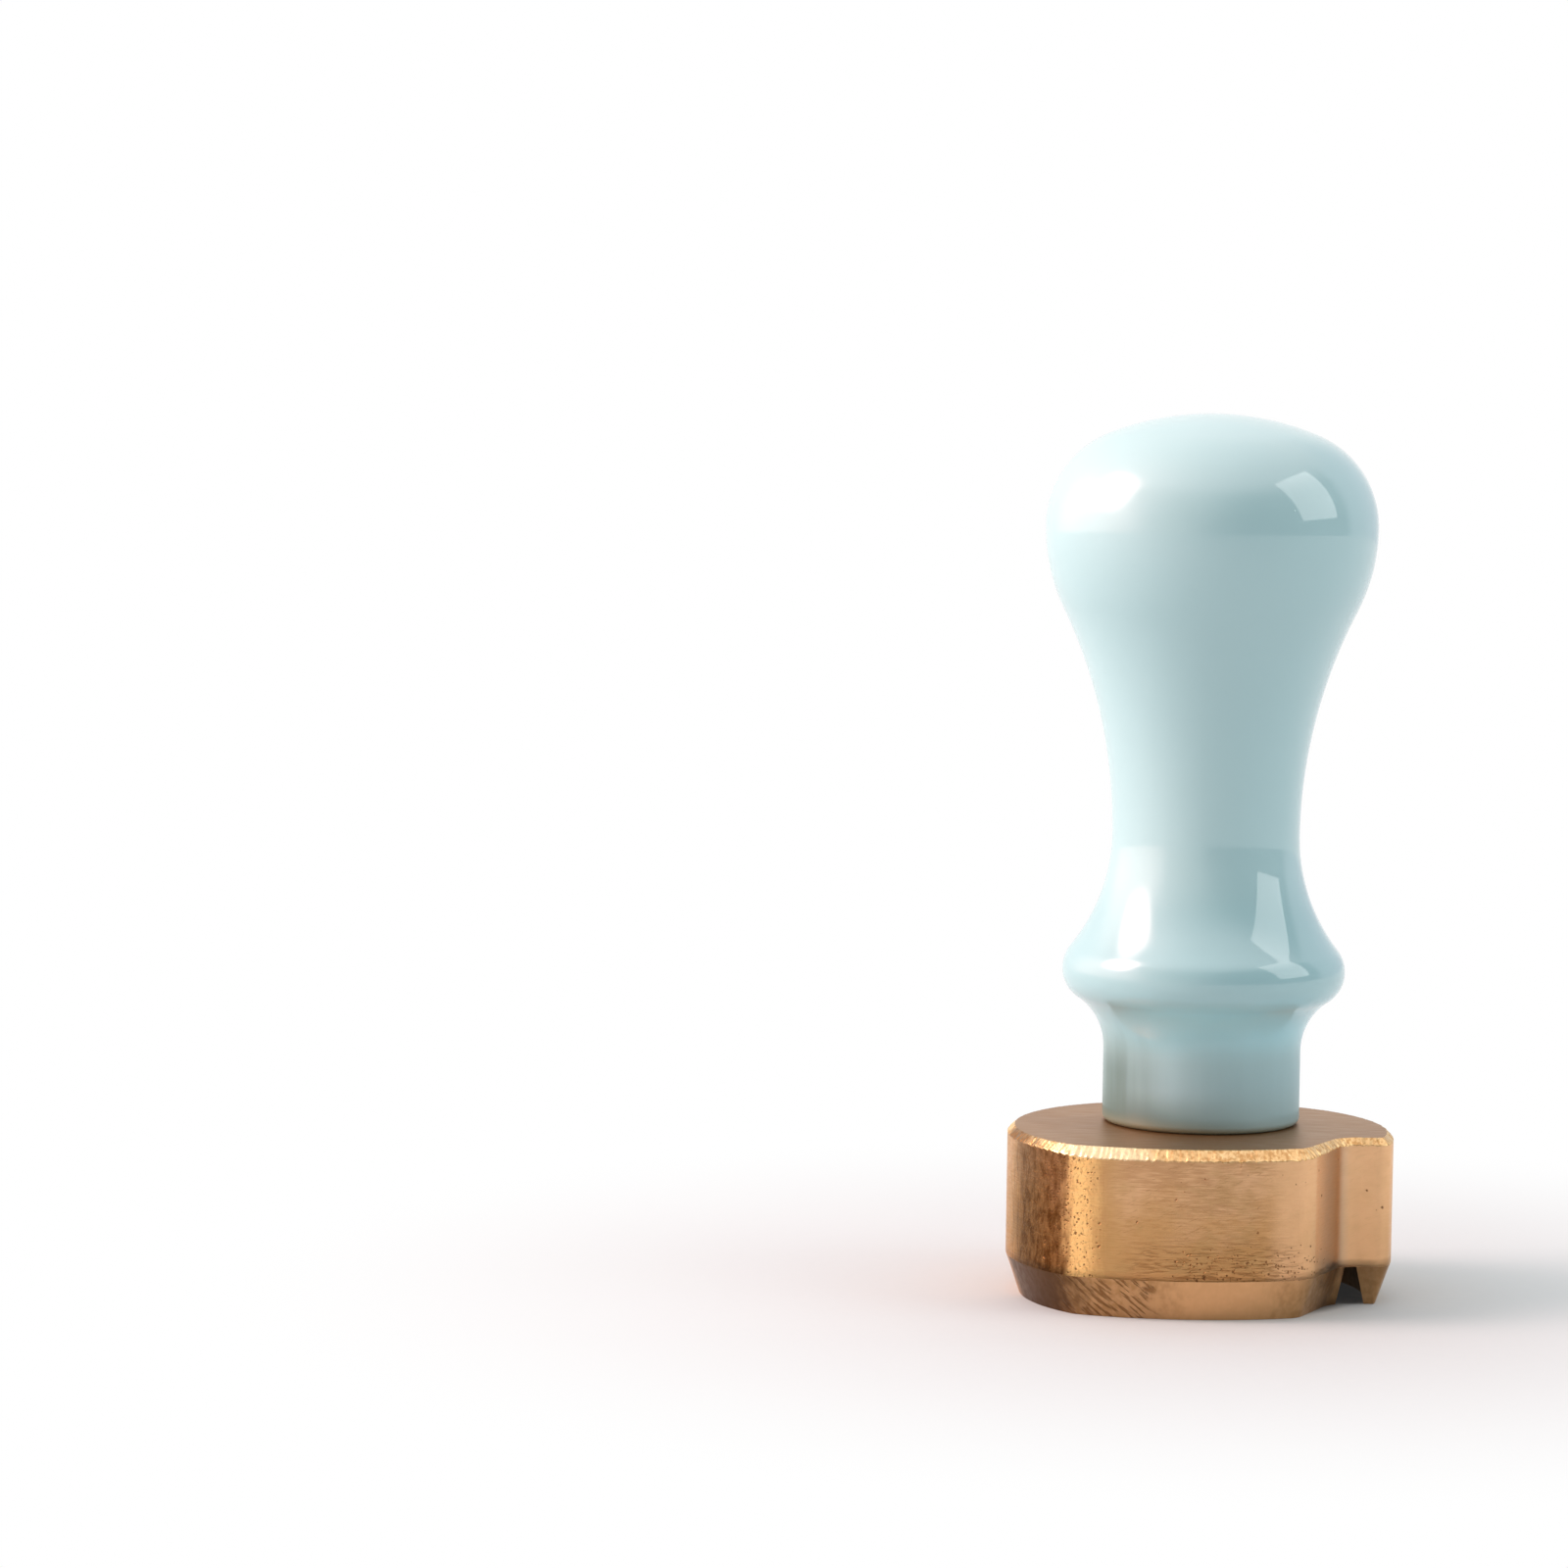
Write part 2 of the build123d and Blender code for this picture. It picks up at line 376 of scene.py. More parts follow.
def casting_pits(scale, left_share, foot_share, smallest, largest):
    """Small open pores in two patches of the front: down its left corner and along its foot.
    Scale is the number of cells per metre, and noise bends the cells, so that no pit is round.
    Each cell holds a pit if its random number is below the patch's share, and the pit's radius
    is from smallest to largest, as a share of a cell."""
    left_span, foot_span, foot_rise = (-14.6 * mm, -10.2 * mm), (-1.0 * mm, 11.5 * mm), (5.2 * mm, 8.2 * mm)
    stray_share, pit_depth, pit_brown = 0.012, 0.05 * mm, (0.17, 0.07, 0.025)

    def pits(tree, place, colour, normal):
        x, y, z = axes(tree, place)
        left = times(tree, band(tree, x, *left_span, 1.3 * mm), left_share)
        foot = times(tree, band(tree, x, *foot_span, 2.5 * mm),
                     ramp(tree, z, *foot_rise, 1.0, 0.0), foot_share)
        patch = times(tree, combine(tree, "MAXIMUM", left, foot), in_front(tree, y, front_marks_back))
        share = combine(tree, "ADD", patch, stray_share)
        bent = shade(tree, "TexNoise", {"Vector": place, "Scale": 2 * scale, "Detail": 1.0})
        bent = {0: bent.outputs["Color"], "Scale": 0.5 / scale}
        bent = shade(tree, "VectorMath", bent, operation="SCALE").outputs[0]
        bent = shade(tree, "VectorMath", {0: place, 1: bent}, operation="ADD").outputs[0]
        cell = shade(tree, "TexVoronoi", {"Vector": bent, "Scale": scale}).outputs
        chance, size, _ = shade(tree, "SeparateColor", {0: cell["Color"]}).outputs
        held = combine(tree, "LESS_THAN", chance, share)
        ratio = combine(tree, "DIVIDE", cell["Distance"], ramp(tree, size, 0.0, 1.0, smallest, largest))
        pit = times(tree, held, ramp(tree, ratio, 0.4, 1.0, 1.0, 0.0))
        colour = mix_colour(tree, times(tree, pit, 0.8), colour, pit_brown)
        return colour, bump(tree, times(tree, pit, -1.0), pit_depth, normal)
    return pits


def file_strokes(tree, place, colour, normal):
    """Short strokes across the edge, as a file and a chattering cutter leave them."""
    stroke_brown, stroke_depth = (0.60, 0.35, 0.14), 0.035 * mm
    strokes = noise(tree, place, (3000, 3000, 900))
    colour = mix_colour(tree, ramp(tree, strokes, 0.42, 0.66), colour, stroke_brown)
    return colour, bump(tree, strokes, stroke_depth, normal)


fine_pits = casting_pits(scale=3100.0, left_share=0.7, foot_share=0.7, smallest=0.2, largest=0.46)
coarse_pits = casting_pits(scale=1500.0, left_share=0.7, foot_share=0.4, smallest=0.1, largest=0.34)
milled_brass = brass("milled_brass", bright=(0.73, 0.43, 0.23), dull=(0.585, 0.325, 0.162),
                     grain=(680, 680, 8500), grain_depth=0.005 * mm, roughness=0.34,
                     layers=(warm_foot, painted_side_reflections, fine_pits, coarse_pits),
                     matte=sanded_corner, rim=(0.94, 0.86, 0.76))
chattered_brass = brass("chattered_brass", bright=(0.92, 0.69, 0.37), dull=(0.82, 0.56, 0.27),
                        grain=(1600, 1600, 1600), grain_depth=0.006 * mm, roughness=0.4,
                        layers=(file_strokes, painted_edge_highlight))
# The back's dark colour is partly a duller sawn finish and partly painted shade, which stands for the dark
# things that the back mirrors.
sawn_brass_with_painted_shade = brass("sawn_brass_with_painted_shade", bright=(0.385, 0.215, 0.10), dull=(0.34, 0.183, 0.082),
                   grain=(300, 5200, 900), grain_depth=0.004 * mm, roughness=0.42)

outline, facing, outline_length = die_outline(outline_steps)
outward = np.stack([np.cos(facing), np.sin(facing)], 1)


def ring(inset, height):
    """The die's outline, moved inwards by inset and raised to height; both may vary along it."""
    rim = outline - outward * np.reshape(inset * np.ones(outline_steps), (-1, 1))
    return np.column_stack([rim, height * np.ones(outline_steps)])


# The wall rises straight to a margin below the chamfer, whose foot and inset wander along the
# outline, and a narrow soft edge lies below and above the chamfer.
low_wander, high_wander, ripple = (
    wander(seed, outline_steps, outline_length, chatter_wave) for seed in (3, 5, 8)
)
chamfer_size = top_chamfer * np.interp(outline[:, 0], chamfer_places, chamfer_shares)
chamfer_foot = plate_top - chamfer_size - foot_wander * low_wander
chamfer_inset = chamfer_size + inset_wander * high_wander
wall_foot = relief_depth + seam_overlap
wall_top = plate_top - top_chamfer - 4 * foot_wander
rows = [ring(0, height) for height in np.linspace(wall_foot, wall_top, wall_rows)]
rows.append(ring(0, chamfer_foot - edge_softness))
for share in np.linspace(0, 1, chamfer_rows):
    dip = chatter_depth * ripple * math.sin(math.pi * share)
    level = chamfer_foot + (plate_top - chamfer_foot) * share - dip
    rows.append(ring(chamfer_inset * share + dip, level))
rows.append(ring(chamfer_inset + edge_softness, plate_top))

# The tapped hole is a stack of rings too: a broken mouth, then the thread, then the drill's tip.
per_hole_step = outline_steps // hole_steps
stud_side = outline - (stud_x, stud_y)
hole_turn = np.unwrap(np.arctan2(stud_side[:, 1], stud_side[:, 0]))[::per_hole_step]
hole_heights = plate_top - np.linspace(mouth_chamfer, hole_depth, tapped_rows)
climb, around = np.meshgrid(hole_heights, hole_turn, indexing="ij")
tapped = thread_radius(around, climb, thread_pitch, thread_major / 2, thread_minor / 2)
tapped[0] = tapped[-1] = thread_major / 2
collar = np.array([[hole_mouth_radius + edge_softness, plate_top], [hole_mouth_radius, plate_top]])
hole_radii = np.vstack([np.repeat(collar[:, :1], hole_steps, 1), tapped])
hole_rise = np.vstack([np.repeat(collar[:, 1:], hole_steps, 1), climb])
hole_around = np.vstack([around[:2], around])
hole = np.stack([stud_x + hole_radii * np.cos(hole_around),
                 stud_y + hole_radii * np.sin(hole_around), hole_rise], -1)
hole_tip = (stud_x, stud_y, hole_heights[-1] - drill_tip)
block_points = np.vstack([*rows, hole.reshape(-1, 3), [(stud_x, stud_y, wall_foot)], [hole_tip]])

# The flat back joins the outline to the hole: a triangle from each step of the outline to the
# nearest vertex of the hole, and a wedge from each step of the hole to the outline.
hole_first = len(rows) * outline_steps
last_ring = hole_first - outline_steps
step, hole_step = np.arange(outline_steps), np.arange(hole_steps)
nearest = hole_first + (step + per_hole_step // 2) // per_hole_step % hole_steps
beside = last_ring + (step + 1) % outline_steps
table_top = np.stack([last_ring + step, beside, nearest], 1)
between = last_ring + (hole_step * per_hole_step + per_hole_step // 2) % outline_steps
wedges = np.stack([between, hole_first + (hole_step + 1) % hole_steps, hole_first + hole_step], 1)
outer_quads = grid_faces(len(rows), outline_steps)
hole_quads = grid_faces(len(hole), hole_steps, hole_first)
tip = len(block_points) - 1
wall_faces = wall_rows * outline_steps
milled, chattered, sawn = range(3)
die_block = make_piece("die_block", block_points, [
    (fan_faces(0, outline_steps, tip - 1, False), milled),
    (outer_quads[:wall_faces], milled),
    (outer_quads[wall_faces:-outline_steps], chattered),
    (outer_quads[-outline_steps:], sawn),
    (table_top, sawn),
    (wedges, sawn),
    (hole_quads, milled),
    (fan_faces(tip - 1 - hole_steps, hole_steps, tip, True), milled),
], [milled_brass, chattered_brass, sawn_brass_with_painted_shade])
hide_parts("die")
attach(die_block, "die")

# The stamping face is the lower end of the same brass block: a bevelled skirt, a flat rim with
# a gap at the notch, and the raised lines of the design, all cut with a tapered engraving tool.
# It meets the block along the line where the wall turns in to the skirt.
weld_distance, relief_crease = 0.001 * mm, math.radians(15)


def scratched_bevel(tree, place, colour, normal):
    """The front bevel: painted shade at its left, then coarse grooves that run down to the
    right, a bright middle and painted shade over the lobe."""
    bright_span, bright_gold = (-2.5 * mm, 8.0 * mm), (0.78, 0.46, 0.225)
    groove_span, groove_brown = (-13.4 * mm, -4.6 * mm), (0.22, 0.10, 0.035)
    groove_turn, groove_depth = math.radians(-40), 0.05 * mm
    lobe_span, lobe_painted_shade = (11.2 * mm, 14.6 * mm), (0.25, 0.135, 0.062)
    dark_span, painted_dark_brown = (-14.0 * mm, -9.4 * mm), (0.10, 0.046, 0.018)
    across = streaked(tree, place, (900, 900, 500), 0.9 * mm)
    front = in_front(tree, axes(tree, place)[1], front_marks_back)
    turned = shade(tree, "Mapping", {"Vector": place, "Rotation": (0, groove_turn, 0)}).outputs[0]
    groove = times(tree, ramp(tree, noise(tree, turned, (420, 420, 2900), 4.0), 0.49, 0.60), front,
                   band(tree, across, *groove_span, 1.0 * mm))
    bright = times(tree, front, band(tree, across, *bright_span, 3.0 * mm), 0.8)
    # Painted shade over the lobe and at the left end of the bevel.
    lobe = times(tree, front, ramp(tree, across, *lobe_span, 0.0, 0.85))
    painted_darkening = times(tree, front, ramp(tree, across, *dark_span, 0.94, 0.0))
    colour = paint(tree, colour, [
        (bright, bright_gold),
        (times(tree, groove, 0.75), groove_brown),
        (lobe, lobe_painted_shade),
        (painted_darkening, painted_dark_brown),
    ])
    return colour, bump(tree, times(tree, groove, -1.0), groove_depth, normal)


engraved_brass = brass("engraved_brass", bright=(0.60, 0.345, 0.165), dull=(0.47, 0.26, 0.11),
                       grain=(1700, 1700, 1300), grain_depth=0.012 * mm, roughness=0.36,
                       layers=(scratched_bevel,))


def stamping_face():
    """The part of the die's own surface below the skirt's upper edge, closed by a cap inside."""
    work = bmesh.new()
    work.from_mesh(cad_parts["die"].data)
    bmesh.ops.remove_doubles(work, verts=work.verts, dist=weld_distance)
    cut = dict(plane_co=(0, 0, relief_depth + 2 * seam_overlap), plane_no=(0, 0, 1))
    bmesh.ops.bisect_plane(work, geom=[*work.verts, *work.edges, *work.faces], clear_outer=True, **cut)
    bmesh.ops.contextual_create(work, geom=[edge for edge in work.edges if edge.is_boundary])
    mesh = bpy.data.meshes.new("die_relief")
    work.to_mesh(mesh)
    work.free()
    mesh.materials.clear()
    mesh.materials.append(engraved_brass)
    mesh.shade_smooth()
    mesh.set_sharp_from_angle(angle=relief_crease)
    piece = bpy.data.objects.new("die_relief", mesh)
    bpy.context.scene.collection.objects.link(piece)
    return piece


die_relief = stamping_face()
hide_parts("die")
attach(die_relief, "die")

# The stud is a zinc-plated steel hanger bolt: an M6 machine thread below, which the die screws
# onto, and a coarse wood thread above, which bites into the handle. Both threads are rolled.
bolt_radius = (bolt_high.x - bolt_low.x) / 2
machine_slack, machine_root = 0.08 * mm, 2.45 * mm
plain_start, wood_start = plate_top + 0.2 * mm, plate_top + 3.0 * mm
wood_pitch, wood_root, wood_point = 2.5 * mm, 2.05 * mm, 4.0 * mm
wood_crest_share, wood_root_share = 0.05, 0.5
bolt_chamfer, bolt_steps, bolt_rows = 0.7 * mm, 64, 419
zinc_dull, zinc_bright, zinc_grain_depth = (0.50, 0.49, 0.45), (0.66, 0.65, 0.60), 0.004 * mm

steel, tree, shader, place = start_material("plated_steel")
zinc_haze_and_neck_shade = noise(tree, place, (700, 700, 700))
feed(tree, shader, {
    "Base Color": mix_colour(tree, zinc_haze_and_neck_shade, zinc_dull, zinc_bright),
    "Roughness": ramp(tree, zinc_haze_and_neck_shade, 0.3, 0.7, 0.24, 0.38),
    "Normal": bump(tree, noise(tree, place, (2500, 2500, 2500)), zinc_grain_depth),
    "Metallic": 1.0,
})

bolt_heights = np.linspace(bolt_low.z, bolt_high.z, bolt_rows, endpoint=False)
bolt_turn = np.linspace(0, 2 * math.pi, bolt_steps, endpoint=False)
level, around = np.meshgrid(bolt_heights, bolt_turn, indexing="ij")
shank = bolt_radius - machine_slack
machine = thread_radius(around, level - plate_top, thread_pitch, shank, machine_root)
wood = thread_radius(around, level - plate_top, wood_pitch, bolt_radius, wood_root,
                     wood_crest_share, wood_root_share)
thread = np.where(level < plain_start, machine, np.where(level < wood_start, shank, wood))
end_taper = bolt_radius - bolt_chamfer + (level - bolt_low.z)
point_taper = bolt_radius * (bolt_high.z - level) / wood_point
bolt_skin = np.minimum(thread, np.minimum(end_taper, point_taper))
bolt_points = np.stack([stud_x + bolt_skin * np.cos(around),
                        stud_y + bolt_skin * np.sin(around), level], -1).reshape(-1, 3)
bolt_ends = [(stud_x, stud_y, bolt_low.z), (stud_x, stud_y, bolt_high.z)]
bolt_tip = len(bolt_points)
hanger_bolt = make_piece("threaded_stud", np.vstack([bolt_points, bolt_ends]), [
    (fan_faces(0, bolt_steps, bolt_tip, False), 0),
    (grid_faces(bolt_rows, bolt_steps), 0),
    (fan_faces(bolt_tip - bolt_steps, bolt_steps, bolt_tip + 1, True), 0),
], [steel])
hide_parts("hanger_bolt")
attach(hanger_bolt, "hanger_bolt")

# The handle is one piece of wood, turned on a lathe: foot, neck, rolled ring, waist and knob.
# It is sealed and sprayed with pale aqua lacquer under a deep clear gloss coat, and only the
# underside of its foot and the bore for the stud are left bare.
handle_low, handle_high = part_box("handle")
handle_x, handle_y = (handle_low.x + handle_high.x) / 2, (handle_low.y + handle_high.y) / 2
handle_height = handle_high.z - handle_low.z
foot_round, neck_radius, neck_height = 0.7 * mm, 9.8 * mm, 7.3 * mm
ring_radius, ring_height = 14.05 * mm, 15.2 * mm
waist_radius, waist_height = 9.32 * mm, 28.8 * mm
knob_radius, crown_rise = (handle_high.x - handle_low.x) / 2, 11.2 * mm
knob_height = handle_height - crown_rise
cove_share, flare_share, swell_share, crown_share = 0.65, 0.16, 0.73, 0.513
bore_radius, bore_mouth, bore_depth, bore_tip = 3.05 * mm, 0.5 * mm, 22.0 * mm, 1.8 * mm
foot_steps, arc_steps, handle_steps = 8, 26, 192
handle_crease = math.radians(40)


def arc_from(start, end, heading):
    """Points on the arc that leaves start in the direction heading and ends at end, and its
    direction there: the chord turned on from the heading by as much as the heading is from it."""
    chord = end - start
    half = math.atan2(*chord[::-1]) - heading
    bend = np.linspace(0, 1, arc_steps)[:, None]
    reach = np.hypot(*chord) * np.sin(half * bend) / math.sin(half)
    points = start + reach * np.hstack([np.cos(heading + half * bend), np.sin(heading + half * bend)])
    return points[1:], heading + 2 * half


def turned_profile():
    """The handle's outside as radius and height above the foot, from the foot's edge up to the
    top of the crown: a quarter circle, an upright neck, and pairs of tangent arcs from one
    station to the next. The crown's two arcs meet on the circle through knob and top on which
    these lie a quarter turn apart, at crown_share of that turn."""
    upright = math.pi / 2
    stations = np.array([(neck_radius, neck_height), (ring_radius, ring_height),
                         (waist_radius, waist_height), (knob_radius, knob_height)])
    foot_turn = np.linspace(-upright, 0, foot_steps)
    foot_centre = (neck_radius - foot_round, foot_round)
    foot_curve = foot_centre + foot_round * np.stack([np.cos(foot_turn), np.sin(foot_turn)], 1)
    neck_rise = np.linspace(foot_round, neck_height, foot_steps + 1)[1:]
    profile = [foot_curve, np.stack([np.full(foot_steps, neck_radius), neck_rise], 1)]
    for start, end, share in zip(stations, stations[1:], (cove_share, flare_share, swell_share)):
        middle = start + (end - start) * share
        first, heading = arc_from(start, middle, upright)
        second, _ = arc_from(middle, end, heading)
        profile += [first, second]
    knob, top = stations[-1], np.array([0, handle_height])
    centre = np.array([knob_radius - crown_rise, 2 * knob[1] + crown_rise - knob_radius]) / 2
    turn = crown_share * upright
    spoke = (knob - centre) @ np.array([[math.cos(turn), math.sin(turn)],
                                        [-math.sin(turn), math.cos(turn)]])
    shoulder, heading = arc_from(knob, centre + spoke, upright)
    crown, _ = arc_from(centre + spoke, top, heading)
    return np.vstack([*profile, shoulder, crown[:-1]])


# The lacquer's colour by height above the foot: painted shade up the neck, dark runs with
# more painted shade down its left, painted light thrown back into the cove, a darker teal
# band above the ring, and painted shade and a painted contact shadow, partly stain, round
# the foot.
lacquer_aqua, lacquer_deep = (0.375, 0.635, 0.67), (0.345, 0.605, 0.65)
neck_shade_rise, neck_painted_shade = (4.0 * mm, 10.5 * mm), (0.335, 0.57, 0.63)
cove_rise, cove_painted_light = (8.5 * mm, 13.5 * mm), (0.41, 0.84, 0.95)
ring_band_rise, ring_band_teal = (14.5 * mm, 23.0 * mm), (0.25, 0.51, 0.56)
foot_shade_rise, run_rise, dark_runs_and_shade = (1.0 * mm, 4.5 * mm), (5.0 * mm, 13.0 * mm), (0.05, 0.135, 0.115)
foot_shadow_rise, foot_shadow_and_stain = (0.1 * mm, 1.6 * mm), (0.20, 0.24, 0.16)
skin_depth, speck_depth = 0.004 * mm, 0.02 * mm
lacquer, tree, shader, place = start_material("aqua_lacquer")
side, front, height = axes(tree, place)
rise = combine(tree, "SUBTRACT", height, handle_low.z)
cloud = noise(tree, place, (60, 60, 60), 2.0)
# Painted shade up the neck, under the ring.
zinc_haze_and_neck_shade = ramp(tree, rise, *neck_shade_rise, 0.85, 0.0)
# Painted light: the cove is lightened and made bluer, as if lit by light thrown back into it.
cove_bounce = times(tree, band(tree, rise, *cove_rise, 1.8 * mm),
             ramp(tree, side, -11.5 * mm, -4.5 * mm, 0.25, 1.0))
# A darker, deeper teal band above the ring.
ring_band = times(tree, band(tree, rise, *ring_band_rise, 3.0 * mm), 0.75)
# Painted shade round the foot, stronger at the left.
foot_shade = times(tree, ramp(tree, rise, *foot_shade_rise, 0.9, 0.0),
             ramp(tree, side, -8.0 * mm, 6.0 * mm, 1.0, 0.05))
# Dark runs up the neck, with painted shade down its left.
runs_and_left_shade = times(tree, ramp(tree, noise(tree, place, (560, 560, 30), 2.0), 0.3, 0.7, 0.74, 0.98),
             ramp(tree, side, -8.0 * mm, -2.4 * mm, 1.0, 0.12),
             ramp(tree, front, -2.5 * mm, 9.0 * mm, 1.0, 0.0),
             ramp(tree, rise, *run_rise, 0.95, 0.0))
# A painted contact shadow where the foot meets the die, partly stain.
painted_darkening = times(tree, ramp(tree, rise, *foot_shadow_rise, 0.8, 0.0),
              ramp(tree, side, -6.0 * mm, 8.0 * mm, 1.0, 0.25))
colour = paint(tree, mix_colour(tree, cloud, lacquer_aqua, lacquer_deep), [
    (zinc_haze_and_neck_shade, neck_painted_shade),
    (cove_bounce, cove_painted_light),
    (ring_band, ring_band_teal),
    (foot_shade, dark_runs_and_shade),
    (runs_and_left_shade, dark_runs_and_shade),
    (painted_darkening, foot_shadow_and_stain),
])
specks = shade(tree, "TexVoronoi", {"Vector": place, "Scale": 260.0}).outputs["Distance"]
skin = bump(tree, noise(tree, place, (420, 420, 420), 1.0), skin_depth)
skin = bump(tree, ramp(tree, specks, 0.0, 0.035, 1.0, 0.0), speck_depth, skin)
feed(tree, shader, {
    "Base Color": colour,
    "Normal": skin,
    "Coat Normal": skin,
    "Roughness": 0.62,
    "Specular IOR Level": 1.0,
    "IOR": 1.6,
    "Coat Weight": ramp(tree, rise, *run_rise, 0.3, 1.0),
    "Coat IOR": 1.65,
    "Coat Roughness": 0.02,
})

wood_pale, wood_dark, fibre_depth = (0.66, 0.46, 0.28), (0.46, 0.28, 0.15), 0.03 * mm
bare_wood, tree, shader, place = start_material("bare_wood")
rings = shade(tree, "TexWave", {"Vector": place, "Scale": 420.0, "Distortion": 2.5, "Detail": 2.0})
fibre = noise(tree, place, (3500, 3500, 150))
grain = times(tree, rings.outputs["Fac"], fibre)
feed(tree, shader, {
    "Base Color": mix_colour(tree, grain, wood_pale, wood_dark),
    "Normal": bump(tree, fibre, fibre_depth),
    "Roughness": 0.7,
})

outside = turned_profile()
bore_end = (bore_radius, bore_depth)
bore = np.array([bore_end, (bore_radius, bore_mouth), (bore_radius + bore_mouth, 0),
                 (bore_radius + 2 * bore_mouth, 0)])
profile = np.vstack([bore, outside])
lathe_turn = np.linspace(0, 2 * math.pi, handle_steps, endpoint=False)
radius, around = np.meshgrid(profile[:, 0], lathe_turn, indexing="ij")
level = handle_low.z + np.repeat(profile[:, 1:], handle_steps, 1)
handle_points = np.stack([handle_x + radius * np.cos(around),
                          handle_y + radius * np.sin(around), level], -1).reshape(-1, 3)
bore_pole = (handle_x, handle_y, handle_low.z + bore_depth + bore_tip)
crown_pole = (handle_x, handle_y, handle_high.z)
handle_quads = grid_faces(len(profile), handle_steps)
bare_faces = len(bore) * handle_steps
pole = len(handle_points)
lacquered, bare = range(2)
handle = make_piece("lacquered_handle", np.vstack([handle_points, [bore_pole, crown_pole]]), [
    (fan_faces(0, handle_steps, pole, False), bare),
    (handle_quads[:bare_faces], bare),
    (handle_quads[bare_faces:], lacquered),
    (fan_faces(pole - handle_steps, handle_steps, pole + 1, True), lacquered),
], [lacquer, bare_wood])
handle.data.set_sharp_from_angle(angle=handle_crease)
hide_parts("handle")
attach(handle, "handle")

# The set is a photographer's table: a wide white sheet, lit by a warm soft box close by on the
# left, a fainter white one further off on the right, and the bright ceiling and left wall of the
# room. The side towards the camera is darker, and the gloss of the lacquer and brass shows that.
floor_radius, floor_gap, floor_steps = 1.3, 0.02 * mm, 96
paper_cool, paper_pale, paper_painted_shade = (0.52, 0.58, 0.60), (0.54, 0.60, 0.62), (0.02, 0.012, 0.008)
rim_gap = (14.0 * mm, -3.6 * mm, 0)
sheet, tree, shader, place = start_material("white_sheet")
paper = mix_colour(tree, noise(tree, place, (900, 900, 900)), paper_cool, paper_pale)

# The sheet is painted dark under the die and behind the gap in the rim, through which it
# shows: painted shade where the die shades it.
away = shade(tree, "VectorMath", {0: place}, operation="LENGTH").outputs["Value"]
from_gap = shade(tree, "VectorMath", {0: place, 1: rim_gap}, operation="DISTANCE").outputs["Value"]
painted_shade_mask = combine(tree, "MAXIMUM", ramp(tree, away, 14.5 * mm, 17.0 * mm, 0.85, 0.0),
                 ramp(tree, from_gap, 2.0 * mm, 3.4 * mm, 0.85, 0.0))
feed(tree, shader, {"Base Color": mix_colour(tree, painted_shade_mask, paper, paper_painted_shade), "Roughness": 0.9})

# Away from the stamp the camera sees the sheet as pure white, and so does the gloss, except
# towards the camera, where it fades.
path = shade(tree, "LightPath").outputs
in_gloss = times(tree, combine(tree, "MAXIMUM", path["Is Glossy Ray"], path["Is Transmission Ray"]),
                 ramp(tree, axes(tree, place)[1], -0.8, -0.05, 0.3, 1.0))
seen = combine(tree, "MAXIMUM", path["Is Camera Ray"], in_gloss)
white_share = times(tree, seen, ramp(tree, away, 0.016, 0.10, 0.02, 1.0))
white = shade(tree, "Emission", {"Color": (1, 1, 1, 1), "Strength": 1.0})
surface = shade(tree, "MixShader", {0: white_share, 1: shader.outputs[0], 2: white.outputs[0]})
feed(tree, tree.nodes["Material Output"], {"Surface": surface.outputs[0]})
floor_turn = np.linspace(0, 2 * math.pi, floor_steps, endpoint=False)
floor_rim = np.stack([floor_radius * np.cos(floor_turn), floor_radius * np.sin(floor_turn),
                      np.full(floor_steps, -floor_gap)], 1)
floor = make_piece("floor", np.vstack([floor_rim, [(0, 0, -floor_gap)]]),
                   [(fan_faces(0, floor_steps, floor_steps, True), 0)], [sheet])

# The room is painted by direction: the backdrop, the darker front with a low and a high part,
# and over these the ceiling and the left wall.
backdrop_left, backdrop_right = (1.0, 1.0, 1.0), (0.78, 0.80, 0.86)
low_left, low_right = (0.90, 0.87, 0.84), (0.20, 0.225, 0.25)
high_left, high_right = (0.34, 0.32, 0.31), (0.05, 0.052, 0.056)
ceiling, left_wall = (1.2, 1.08, 1.06), (2.3, 1.8, 1.68)
world = bpy.data.worlds.new("white_room")
bpy.context.scene.world = world
world.use_nodes = True
tree = world.node_tree
right, back, up = axes(tree, shade(tree, "TexCoord").outputs["Generated"])
backdrop = mix_colour(tree, ramp(tree, right, 0.15, 0.5), backdrop_left, backdrop_right)
low_front = mix_colour(tree, ramp(tree, right, -0.45, 0.2), low_left, low_right)
high_front = mix_colour(tree, ramp(tree, right, -0.2, 0.4), high_left, high_right)
front = mix_colour(tree, ramp(tree, up, -0.1, 0.34), low_front, high_front)
room = paint(tree, mix_colour(tree, ramp(tree, back, 0.25, 0.42), front, backdrop), [
    (ramp(tree, up, 0.54, 0.82), ceiling),
    (ramp(tree, right, -0.95, -0.65, 1.0, 0.0), left_wall),
])
feed(tree, tree.nodes["Background"], {"Color": room})


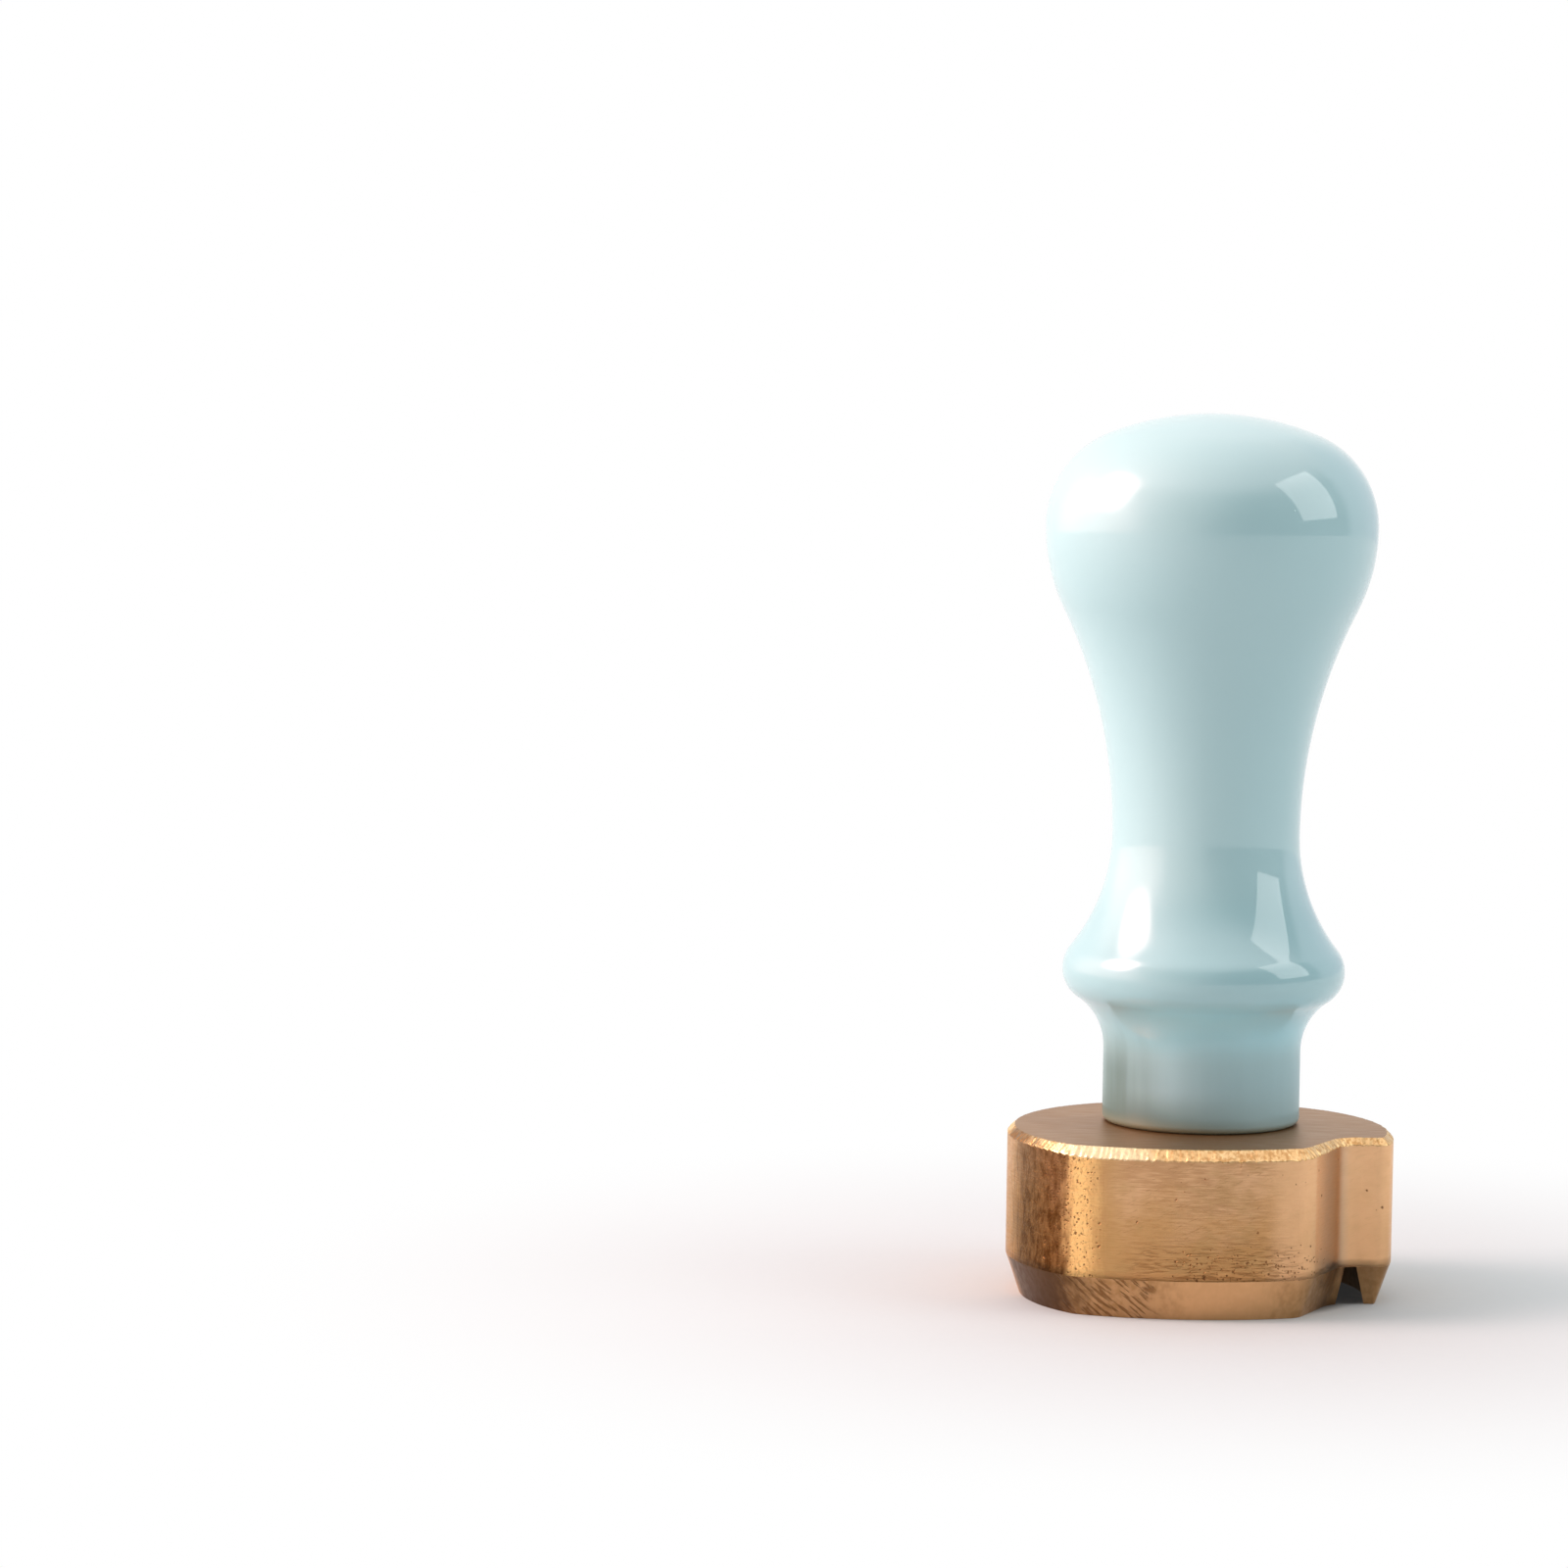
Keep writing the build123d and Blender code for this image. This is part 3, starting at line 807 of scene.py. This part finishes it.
def soft_box(name, azimuth, elevation, width, height, brightness, fade, colour, distance):
    """A rectangular lamp that faces the stamp. Azimuth turns from the front to the right, and
    width and height are the angles that it fills. Its power is pi * area * brightness, and its
    light fades to nothing at each edge, over the share fade of the width and height."""
    turn, lift = math.radians(azimuth), math.radians(elevation)
    away = Vector((math.sin(turn) * math.cos(lift), -math.cos(turn) * math.cos(lift), math.sin(lift)))
    lamp = bpy.data.lights.new(name, "AREA")
    lamp.shape = "RECTANGLE"
    lamp.size = 2 * distance * math.tan(math.radians(width / 2))
    lamp.size_y = 2 * distance * math.tan(math.radians(height / 2))
    lamp.energy = math.pi * lamp.size * lamp.size_y * brightness
    lamp.color = colour
    lamp.use_nodes = True
    tree = lamp.node_tree
    across, along, _ = axes(tree, shade(tree, "NewGeometry").outputs["Parametric"])
    half = fade / 2
    lit = times(tree, band(tree, across, half, 1 - half, half), band(tree, along, half, 1 - half, half))
    feed(tree, tree.nodes["Emission"], {"Strength": lit})
    holder = bpy.data.objects.new(name, lamp)
    middle = Vector((handle_x, handle_y, handle_high.z / 2))
    holder.location = middle + away * distance
    holder.rotation_euler = away.to_track_quat("Z", "Y").to_euler()
    bpy.context.scene.collection.objects.link(holder)


soft_box("left_soft_box", azimuth=-82, elevation=34, width=38, height=40, brightness=25.5,
         fade=0.5, colour=(1.0, 0.68, 0.63), distance=0.55)
soft_box("right_soft_box", azimuth=81.3, elevation=30, width=34, height=42, brightness=2.2,
         fade=0.04, colour=(1.0, 1.0, 0.98), distance=3.0)

# The camera stands half a metre in front of the stamp at the height of its top, and looks
# past it to the left, because the stamp stands at the right of the picture.
camera_distance, camera_height = 0.5, 91.1 * mm
yaw, pitch, roll = (math.radians(angle) for angle in (4.818, 4.737, 0.722))
focal_length, sensor_width = 115.55, 36.0
aim = Vector((-math.sin(yaw) * math.cos(pitch), math.cos(yaw) * math.cos(pitch), -math.sin(pitch)))
level_right = Vector((math.cos(yaw), math.sin(yaw), 0))
level_up = level_right.cross(aim)
camera_right = level_right * math.cos(roll) + level_up * math.sin(roll)
camera_up = level_up * math.cos(roll) - level_right * math.sin(roll)
camera = bpy.data.objects.new("camera", bpy.data.cameras.new("camera"))
camera.data.lens, camera.data.sensor_width = focal_length, sensor_width
camera.data.clip_start, camera.data.clip_end = 0.01, 10
stand = Matrix.Translation((handle_x, handle_y - camera_distance, camera_height))
camera.matrix_world = stand @ Matrix((camera_right, camera_up, -aim)).transposed().to_4x4()
bpy.context.scene.collection.objects.link(camera)
bpy.context.scene.camera = camera
bpy.context.scene.view_settings.view_transform = "Standard"
